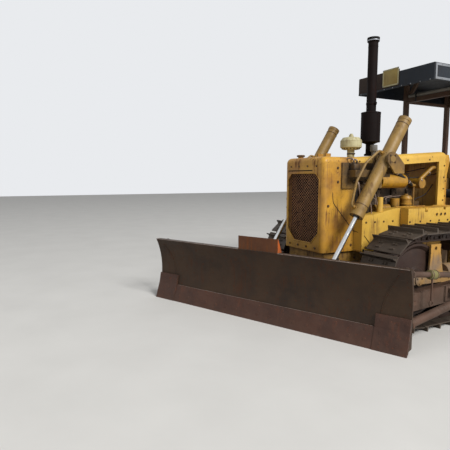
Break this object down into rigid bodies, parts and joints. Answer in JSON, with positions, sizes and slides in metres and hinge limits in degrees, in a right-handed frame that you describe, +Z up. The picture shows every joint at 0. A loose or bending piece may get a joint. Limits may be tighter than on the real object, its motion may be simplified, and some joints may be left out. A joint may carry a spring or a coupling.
{
  "type": "crawler tractor with angling blade",
  "caption": "Old crawler bulldozer: an angled blade on an outside push frame lifts on two trunnioned cylinders, with open-sided engine hood, tracks, canopy and drawbar.",
  "frame": {"origin": "on the ground under the centre of the machine's overall box, on the centre plane between the tracks", "axes": "-Y is forward, +X is the machine's left, +Z is up"},
  "size_m": [3.1277, 5.1116, 3.38],
  "materials": {
    "yellow_paint": "weathered yellow enamel with rust streaks",
    "pale_paint": "faded pale yellow enamel",
    "rusty_mesh": "rusty expanded mesh",
    "core_black": "dusty black",
    "track_steel": "dry brown-grey steel",
    "dark_steel": "dark greasy steel",
    "frame_steel": "dirty yellow-brown paint",
    "rusty_steel": "rust brown",
    "blade_steel": "dark rust-brown plate",
    "chrome_rod": "hard chrome",
    "grey_fittings": "grey and yellow oily fittings",
    "exhaust_brown": "burnt dark brown sheet",
    "black_vinyl": "worn black vinyl",
    "bright_trim": "dull silver-grey frame",
    "canopy_blue": "dark blue-black paint"
  },
  "bodies": {
    "tractor": {"track_left": "track_steel", "track_right": "track_steel", "idler_left": "dark_steel", "idler_right": "dark_steel", "sprocket_left": "dark_steel", "sprocket_right": "dark_steel", "track_frame_left": "frame_steel", "track_frame_right": "frame_steel", "rollers_left": "dark_steel", "rollers_right": "dark_steel", "final_drive_left": "yellow_paint", "final_drive_right": "yellow_paint", "side_boxes_left": "yellow_paint", "side_boxes_right": "yellow_paint", "lift_bracket_left": "yellow_paint", "lift_bracket_right": "yellow_paint", "main_frame": "yellow_paint", "equalizer_spring": "dark_steel", "radiator_guard": "yellow_paint", "grille_mesh": "rusty_mesh", "radiator_core": "core_black", "hood": "yellow_paint", "instrument_cowl": "yellow_paint", "engine_block": "yellow_paint", "engine_fittings": "grey_fittings", "air_precleaner": "pale_paint", "exhaust": "exhaust_brown", "steering_case": "yellow_paint", "drawbar": "rusty_steel", "platform": "yellow_paint", "seat_base": "yellow_paint", "seat_pads": "black_vinyl", "fuel_tank": "yellow_paint", "control_levers": "dark_steel", "canopy_posts": "rusty_steel", "canopy_roof": "canopy_blue", "roof_frames": "bright_trim"},
    "blade_frame": {"push_frame": "rusty_steel", "moldboard": "blade_steel", "cutting_edge": "blade_steel", "spill_guard": "blade_steel", "struts_left": "rusty_steel", "struts_right": "rusty_steel"},
    "fan": {"cooling_fan": "dark_steel"},
    "barrel_left": {"lift_barrel_left": "yellow_paint"},
    "barrel_right": {"lift_barrel_right": "yellow_paint"},
    "rod_left": {"lift_rod_left": "chrome_rod"},
    "rod_right": {"lift_rod_right": "chrome_rod"}
  },
  "joints": [
    {"name": "blade_lift", "type": "hinge", "parent": "tractor", "child": "blade_frame", "pos_m": [0, 0.675, 0.5], "axis": [-1, 0, 0], "range_deg": [-8, 18]},
    {"name": "fan_spin", "type": "hinge", "parent": "tractor", "child": "fan", "pos_m": [0, -0.895, 1.3], "axis": [0, 1, 0], "continuous": true},
    {"name": "barrel_swing_left", "type": "hinge", "parent": "tractor", "child": "barrel_left", "pos_m": [0.6, -0.545, 1.85], "axis": [-1, 0, 0], "range_deg": [-6.3, 13.55]},
    {"name": "rod_slide_left", "type": "slide", "parent": "barrel_left", "child": "rod_left", "axis": [0, 0.5419, 0.8405], "range_m": [-0.2528, 0.5626]},
    {"name": "barrel_swing_right", "type": "hinge", "parent": "tractor", "child": "barrel_right", "pos_m": [-0.6, -0.545, 1.85], "axis": [-1, 0, 0], "range_deg": [-6.3, 13.55]},
    {"name": "rod_slide_right", "type": "slide", "parent": "barrel_right", "child": "rod_right", "axis": [0, 0.5419, 0.8405], "range_m": [-0.2528, 0.5626]}
  ],
  "couplings": [
    {"joint": "barrel_swing_left", "follows": "blade_lift", "ratio": 0.725},
    {"joint": "rod_slide_left", "follows": "blade_lift", "m_per_rad": 1.775},
    {"joint": "barrel_swing_right", "follows": "blade_lift", "ratio": 0.725},
    {"joint": "rod_slide_right", "follows": "blade_lift", "m_per_rad": 1.775}
  ]
}
